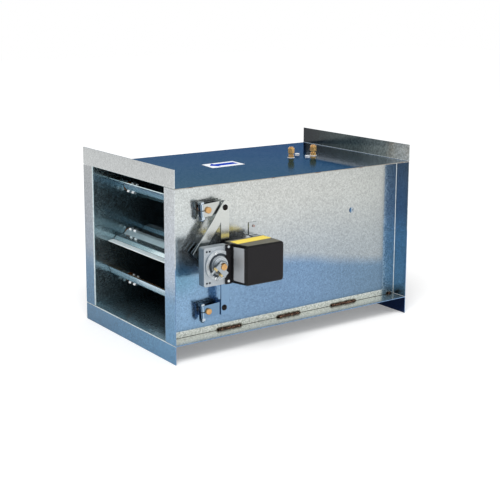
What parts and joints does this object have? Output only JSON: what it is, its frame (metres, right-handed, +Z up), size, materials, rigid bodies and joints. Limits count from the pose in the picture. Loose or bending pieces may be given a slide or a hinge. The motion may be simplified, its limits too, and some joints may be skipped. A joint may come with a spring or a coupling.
{
  "type": "airflow measuring station",
  "caption": "Flanged duct section with opposed damper blades on linked shafts, a direct-coupled actuator and an averaging pressure probe.",
  "frame": {"origin": "centre of the duct opening in the plane of the probe-end flange's outer face", "axes": "+X along the duct axis, out of the probe end; +Z up; -Y the side with the actuator"},
  "size_m": [0.603, 0.4304, 0.381],
  "materials": {
    "galvanised_sheet": "bright spangled galvanised sheet",
    "blade_sheet": "bright galvanised sheet",
    "zinc_plate": "bright zinc plate",
    "shaft_steel": "yellow zinc plated steel",
    "bronze": "sintered bronze",
    "brass": "machined brass",
    "cast_aluminium": "die cast",
    "tube_aluminium": "drawn tube",
    "black_cover": "fine matt moulding",
    "black_rivet": "black oxide",
    "weld_metal": "brown heat-coloured weld bead"
  },
  "bodies": {
    "casing": {"top_panel": "galvanised_sheet", "bottom_panel": "galvanised_sheet", "front_side_panel": "galvanised_sheet", "rear_side_panel": "galvanised_sheet", "front_seam_welds": "weld_metal", "rear_seam_welds": "weld_metal", "wall_rivet": "zinc_plate", "front_upper_bushing": "bronze", "front_middle_bushing": "bronze", "front_lower_bushing": "bronze", "rear_upper_bushing": "bronze", "rear_middle_bushing": "bronze", "rear_lower_bushing": "bronze", "actuator_housing": "cast_aluminium", "scale_ring": "cast_aluminium", "ring_stop_screws": "zinc_plate", "actuator_cover": "black_cover", "cover_screws": "zinc_plate", "cable_gland": "black_cover", "anti_rotation_bracket": "zinc_plate", "bracket_screw": "zinc_plate", "fitting_washers": "zinc_plate", "total_pressure_fitting": "brass", "static_pressure_fitting": "brass", "total_pressure_nut": "brass", "static_pressure_nut": "brass", "total_pressure_tube": "tube_aluminium", "static_pressure_tube": "tube_aluminium", "probe_plate": "galvanised_sheet", "probe_bolts": "zinc_plate", "probe_support": "galvanised_sheet"},
    "middle_rotor": {"middle_shaft": "shaft_steel", "middle_blade": "blade_sheet", "middle_blade_bolts": "zinc_plate", "middle_crank": "zinc_plate", "middle_clamp_bolt": "zinc_plate", "middle_cap_nut": "zinc_plate", "actuator_hub": "cast_aluminium", "clamp_jaw": "zinc_plate", "clamp_u_bolt": "zinc_plate", "clamp_nuts": "shaft_steel"},
    "upper_rotor": {"upper_shaft": "shaft_steel", "upper_blade": "blade_sheet", "upper_blade_bolts": "zinc_plate", "upper_crank": "zinc_plate", "upper_clamp_bolt": "zinc_plate", "upper_cap_nut": "zinc_plate", "upper_pivot_pin": "black_rivet", "pin_washer": "zinc_plate"},
    "lower_rotor": {"lower_shaft": "shaft_steel", "lower_blade": "blade_sheet", "lower_blade_bolts": "zinc_plate", "lower_crank": "zinc_plate", "lower_clamp_bolt": "zinc_plate", "lower_cap_nut": "zinc_plate", "lower_pivot_pin": "black_rivet"},
    "vertical_bar": {"tie_bar": "zinc_plate"},
    "diagonal_bar": {"diagonal_link": "zinc_plate", "link_rivet": "black_rivet"}
  },
  "joints": [
    {"name": "middle_blade_turn", "type": "hinge", "parent": "casing", "child": "middle_rotor", "pos_m": [-0.5165, -0.14765, 0], "axis": [0, -1, 0], "range_deg": [-6, 53]},
    {"name": "upper_blade_turn", "type": "hinge", "parent": "casing", "child": "upper_rotor", "pos_m": [-0.5165, -0.14765, 0.1016], "axis": [0, -1, 0], "range_deg": [-41.34, 4.68]},
    {"name": "lower_blade_turn", "type": "hinge", "parent": "casing", "child": "lower_rotor", "pos_m": [-0.5165, -0.14765, -0.1016], "axis": [0, -1, 0], "range_deg": [-41.34, 4.68]},
    {"name": "vertical_bar_pivot", "type": "hinge", "parent": "upper_rotor", "child": "vertical_bar", "pos_m": [-0.48059, -0.16915, 0.10411], "axis": [0, -1, 0], "range_deg": [-4.68, 41.34]},
    {"name": "diagonal_bar_pivot", "type": "hinge", "parent": "upper_rotor", "child": "diagonal_bar", "pos_m": [-0.48059, -0.17215, 0.10411], "axis": [0, -1, 0], "range_deg": [-4.5, 39.75]}
  ],
  "couplings": [
    {"joint": "upper_blade_turn", "follows": "middle_blade_turn", "ratio": -0.78},
    {"joint": "lower_blade_turn", "follows": "middle_blade_turn", "ratio": -0.78},
    {"joint": "vertical_bar_pivot", "follows": "middle_blade_turn", "ratio": 0.78},
    {"joint": "diagonal_bar_pivot", "follows": "middle_blade_turn", "ratio": 0.75}
  ]
}
